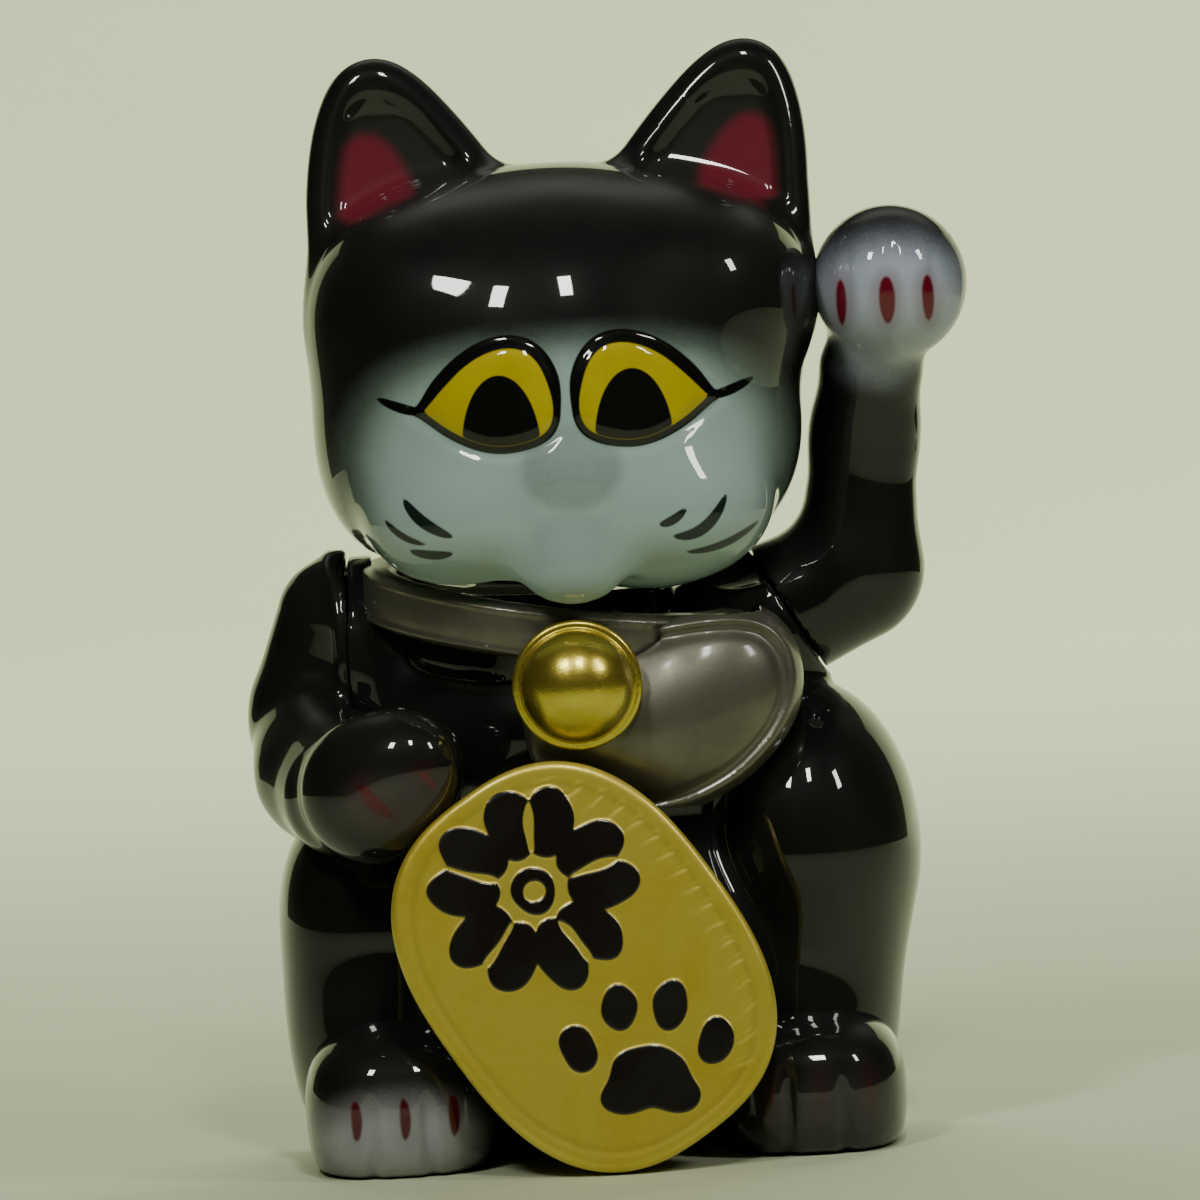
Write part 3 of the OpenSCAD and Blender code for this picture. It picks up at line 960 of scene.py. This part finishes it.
PLATE_HALF_L = 26.2
PLATE_HALF_W = 20.2
PLATE_T = 4.0
PLATE_POWER = 2.6
PLATE_MID = (middle_mm("gold_plate")[0] - 0.1, -31.0, 25.8)
PLATE_LEAN = 8                  # degrees back from upright
PLATE_TURN = math.radians(33)
PLATE_PLACE = (
    Matrix.Translation(PLATE_MID)
    @ Matrix.Rotation(math.radians(90 - PLATE_LEAN), 4, "X")
    @ Matrix.Rotation(PLATE_TURN, 4, "Z")
)


def plate_outline(x, y):
    a, b = np.abs(x) / PLATE_HALF_W, np.abs(y) / PLATE_HALF_L
    norm = (a**PLATE_POWER + b**PLATE_POWER) ** (1 / PLATE_POWER)
    return (norm - 1) * (PLATE_HALF_W * PLATE_HALF_L / np.hypot(
        a * PLATE_HALF_L + 1e-6, b * PLATE_HALF_W + 1e-6)) * np.maximum(norm, 0.2)


def blossom(x, y, at, size, turn):
    """A five-petalled crest with veins and a ringed heart."""
    total = np.full(x.shape, FAR)
    lobe = (0.34 * size, 0.24 * size)
    for i in range(5):
        angle = math.radians(turn + 72 * i)
        c, s = math.cos(angle), math.sin(angle)
        u, v = (x - at[0]) * c + (y - at[1]) * s, (y - at[1]) * c - (x - at[0]) * s
        petal = smooth_min(ellipse(u, v, (0.62 * size, 0.17 * size), lobe, 14),
                           ellipse(u, v, (0.62 * size, -0.17 * size), lobe, -14), 0.4)
        vein = stroke(u, v, (0.36 * size, 0), (0.6 * size, 0.02 * size), (0.84 * size, 0), 1.0)
        total = np.minimum(total, np.maximum(petal, -vein))
    heart = np.hypot(x - at[0], y - at[1])
    ring = np.abs(heart - 0.16 * size) - 0.055 * size
    return np.minimum(np.maximum(total, 0.28 * size - heart), ring)


def paw_print(x, y, at, size):
    """A cat's paw print: four toes over a broad pad."""
    lobe, toe = (0.24 * size, 0.22 * size), (0.19 * size, 0.27 * size)
    lobes = smooth_min(ellipse(x, y, (at[0] - 0.3 * size, at[1] - 0.38 * size), lobe),
                       ellipse(x, y, (at[0] + 0.3 * size, at[1] - 0.38 * size), lobe), 0.5)
    pad = ellipse(x, y, (at[0], at[1] - 0.18 * size), (0.42 * size, 0.34 * size))
    total = smooth_min(pad, lobes, 1.5)
    toes = ((-0.74, 0.16, 22), (-0.28, 0.58, 8), (0.28, 0.58, -8), (0.74, 0.16, -22))
    for side, up, lean in toes:
        spot = (at[0] + side * size, at[1] + up * size)
        total = np.minimum(total, ellipse(x, y, spot, toe, lean))
    return total


def plate_ink(x, y):
    """The raised black ornaments, upright to the viewer on the turned plate."""
    c, s = math.cos(PLATE_TURN), math.sin(PLATE_TURN)
    u, v = x * c - y * s, x * s + y * c
    wobble = 0.14 * np.sin(0.9 * u + 0.4 * v) + 0.1 * np.sin(1.2 * v - 0.5 * u + 1.0)
    return np.minimum(blossom(u, v, (-5.8, 9.8), 13.6, 18),
                      paw_print(u, v, (7.4, -12.2), 11.6)) + wobble


INKED = Chart(plate_ink, (-24, -31), (24, 31), 0.15)


def plate_field(p):
    x, y, z = p[:, 0], p[:, 1], p[:, 2]
    edge = plate_outline(x, y)
    rim = 0.1 * fade(edge, -2.4, -1.4)
    inner = fade(edge, -1.6, -2.6)
    tracks = np.sin(2 * math.pi * (y + 0.05 * x + 0.3 * np.sin(0.7 * x)) / 2.7)
    dent = 0.10 * inner * fade(tracks, 0.3, 1.0) * fade(edge, -6.0, -2.6) * fade(x, 2, 12)
    raised = 0.2 * fade(INKED(x, y), 0.2, -0.2)
    top = PLATE_T - 0.1 + rim - dent + raised * inner
    return round_corner(edge, np.abs(z - top / 2) - top / 2, 1.0)


def plate_paint(p):
    edge = plate_outline(p[:, 0], p[:, 1])
    away = np.where(p[:, 2] < PLATE_T * 0.6, FAR, 0.0)
    # groove is the distance from the foot of the raised rim, where the gold is painted darker as
    # shade.
    return {"ink": INKED(p[:, 0], p[:, 1]) + away, "groove": np.abs(edge + 2.4) - 0.25 + away}


def peg_field(p):
    """The peg behind the plate, from its back face into the belly."""
    across = np.hypot(p[:, 0], p[:, 1])
    return smooth_max(across - 4.0, np.abs(p[:, 2] + 3.5) - 4.0, 0.5)


# ---- tail

def tail_field(p):
    _, high = corners_mm("tail")
    root, tip = vec(2, 21.5, 14), vec(3, high[1] - 5.3, 20.2)
    total = smooth_min(limb(p, root, tip, 5.8, 5.2), egg(p, tip, (5.3, 5.2, 5.4)), 2)
    return smooth_max(total, -(torso(p) + 1.2), 0.5)


# ---- building

def build():
    coarser = 1.0
    margin = 1.0

    def grown(*nodes):
        lows, highs = zip(*(corners_mm(n) for n in nodes))
        return np.min(lows, axis=0) - margin, np.max(highs, axis=0) + margin

    vinyl = body_material()
    jobs = [
        ("head", head_field, grown("head_shell"), 0.8, head_paint, head_material(),
         "head", ["head_shell"], "black_vinyl"),
        ("body_skin", body_field, grown("body_shell"), 1.0, None, vinyl,
         "body", ["body_shell"], "black_vinyl"),
        ("arm_raised", raised_arm_field, grown("raised_arm"), 0.8, raised_arm_paint,
         paw_material("raised_paw_paint", rgb(182, 190, 206), WINE),
         "left_arm", ["raised_arm"], "black_vinyl"),
        ("arm_lowered", lowered_arm_field, grown("lowered_arm"), 0.8, lowered_arm_paint,
         paw_material("lowered_paw_paint", rgb(88, 80, 80), DARK_WINE),
         "right_arm", ["lowered_arm"], "black_vinyl"),
        ("neck_collar", collar_field, grown("collar"), 0.7, None,
         gunmetal_material("collar_paint"), "body", ["collar"], "gunmetal_vinyl"),
        ("chest_bib", bib_field, grown("bib"), 0.6, None,
         gunmetal_material("bib_paint"), "body", ["bib"], "gunmetal_vinyl"),
        ("collar_bell", bell_field, grown("bell"), 0.4, None,
         gold_material("bell_gold"), "body", ["bell"], "gold_vinyl"),
        ("bobtail", tail_field, grown("tail"), 0.7, None, vinyl,
         "body", ["tail"], "black_vinyl"),
    ]
    for name in FEET:
        at, half = FEET[name]
        jobs.append((name + "_skin", lambda p, a=at, h=half: foot_field(p, a, h),
                     (at - half - margin, at + half + margin), 0.8, foot_paint(name),
                     paw_material(name + "_paint", rgb(166, 170, 174), DARK_WINE),
                     "body", [name], "black_vinyl"))
    for name, field, (low, high), step, paint, material, body, nodes, finish in jobs:
        made = piece(name, field, low, high, step * coarser, 1, paint)
        dress(made, material, body, nodes)
    plate_gold = gold_material("plate_gold", inked=True)
    reach = vec(PLATE_HALF_W + margin, PLATE_HALF_L + margin, 0)
    plate = piece("plate", plate_field, -reach - vec(0, 0, margin), reach + vec(0, 0, 6),
                  0.5 * coarser, 1, plate_paint, PLATE_PLACE)
    dress(plate, plate_gold, "body", ["gold_plate"])
    peg = piece("plate_peg", peg_field, vec(-5, -5, -9), vec(5, 5, 2), 0.6, 0, None, PLATE_PLACE)
    dress(peg, gold_material("peg_gold"), "body", [])


def dress(made, material, body, nodes):
    made.data.materials.append(material)
    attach(made, body)
    if nodes:
        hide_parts(*nodes)


# ---- room, lights and camera

def bowl(name, profile, turns=96, start=0.0, sweep=360.0):
    """A surface swept round the vertical axis through the origin, from (radius, height)s."""
    closed = sweep >= 360
    count = turns if closed else turns + 1
    points, faces = [], []
    for r, z in profile:
        for i in range(count):
            a = math.radians(start + sweep * i / turns)
            points.append((r * math.cos(a), r * math.sin(a), z))
    for k in range(len(profile) - 1):
        for i in range(turns):
            j = (i + 1) % count
            faces.append((k * count + i, k * count + j, (k + 1) * count + j,
                          (k + 1) * count + i))
    mesh = bpy.data.meshes.new(name)
    mesh.from_pydata(points, [], faces)
    mesh.polygons.foreach_set("use_smooth", [True] * len(faces))
    made = bpy.data.objects.new(name, mesh)
    bpy.context.scene.collection.objects.link(made)
    return made


def room():
    """A round pale floor that curves up into a wall, so that every view has a backdrop, and
    dark screens, unseen themselves, for the unlit room in front of the cat and above it:
    painted shade, which the gloss reflects and which casts no shadow."""
    flat, bend, high = 1.1, 0.7, 1.6
    profile = [(0.001, 0.0)] + [(r, 0.0) for r in np.linspace(0.15, flat, 6)]
    profile += [(flat + bend * math.sin(a), bend - bend * math.cos(a))
                for a in np.linspace(0.1, math.pi / 2, 14)]
    profile.append((flat + bend, high))
    floor = bowl("studio_floor", profile)
    shader = Shader("paper", rgb(206, 215, 178), Roughness=0.75)
    shader.tint(shader.ramp(shader.noise(0.004, 3.0), 0.3, 0.7, 0.0, 0.4), rgb(198, 206, 168))
    floor.data.materials.append(shader.done())
    # Painted shade: a dark sheet in front of the cat and above it, seen only in its gloss and in
    # the bounce light.
    shade_screen = Shader("painted_shade_screen", rgb(15, 15, 13), Roughness=1.0, Specular_IOR_Level=0.0)
    shade_screen.tint(shade_screen.ramp(shade_screen.noise(0.01, 3.0), 0.3, 0.7), rgb(21, 22, 19))
    dark = shade_screen.done()
    front = bowl("painted_shade_front", [(0.54, 0.004), (0.58, 0.5), (0.56, 0.9)],
                 turns=72, start=132, sweep=270)
    above = bowl("painted_shade_above", [(0.001, 0.9), (0.6, 0.86), (1.3, 0.7)], turns=48)
    for screen in (front, above):
        screen.data.materials.append(dark)
        screen.visible_camera = False
        screen.visible_shadow = False


def area_light(name, at, aim, size, watts, colour=(1, 1, 1)):
    data = bpy.data.lights.new(name, "AREA")
    data.shape, data.size, data.size_y = "RECTANGLE", size[0], size[1]
    data.energy, data.color = watts, colour
    lamp = bpy.data.objects.new(name, data)
    lamp.location = at
    lamp.rotation_mode = "QUATERNION"
    lamp.rotation_quaternion = (Vector(aim) - Vector(at)).to_track_quat("-Z", "Y")
    bpy.context.scene.collection.objects.link(lamp)
    return lamp


def lights():
    world = bpy.data.worlds.new("room")
    world.use_nodes = True
    world.node_tree.nodes["Background"].inputs["Color"].default_value = (0.8, 0.85, 0.78, 1)
    world.node_tree.nodes["Background"].inputs["Strength"].default_value = 0.1
    bpy.context.scene.world = world
    head = (0.0, 0.0, 0.08)
    daylight = (1.0, 1.0, 0.94)
    area_light("window_left", (-0.2, -0.36, 0.46), head, (0.06, 0.1), 0.9, daylight)
    area_light("window_right", (0.06, -0.38, 0.5), head, (0.05, 0.1), 0.9, daylight)
    area_light("window_side", (0.38, -0.26, 0.4), head, (0.05, 0.12), 0.6, daylight)
    area_light("wall_wash", (0.2, 0.7, 1.0), (0.1, 1.4, 0.1), (1.2, 0.4), 24.0, (1.0, 1.0, 0.88))


def camera():
    """Looks at the cat from in front, slightly down from above level and rolled a little."""
    low, high = cad_box
    distance, rise, roll = 1.0, math.radians(3.2), math.radians(3.2)
    width = 0.1562                    # seen across the frame at the cat's middle
    data = bpy.data.cameras.new("camera")
    data.sensor_width = 36
    data.lens = data.sensor_width * distance / width
    data.clip_start, data.clip_end = 0.01, 20
    made = bpy.data.objects.new("camera", data)
    target = Vector((0.003, 0.0, low.z + 0.4925 * (high.z - low.z)))
    back = Vector((0, -math.cos(rise), math.sin(rise)))
    made.location = target + back * distance
    made.rotation_mode = "QUATERNION"
    facing = (-back).to_track_quat("-Z", "Y")
    made.rotation_quaternion = facing @ Matrix.Rotation(-roll, 4, "Z").to_quaternion()
    bpy.context.scene.collection.objects.link(made)
    bpy.context.scene.camera = made


camera()
build()
room()
lights()
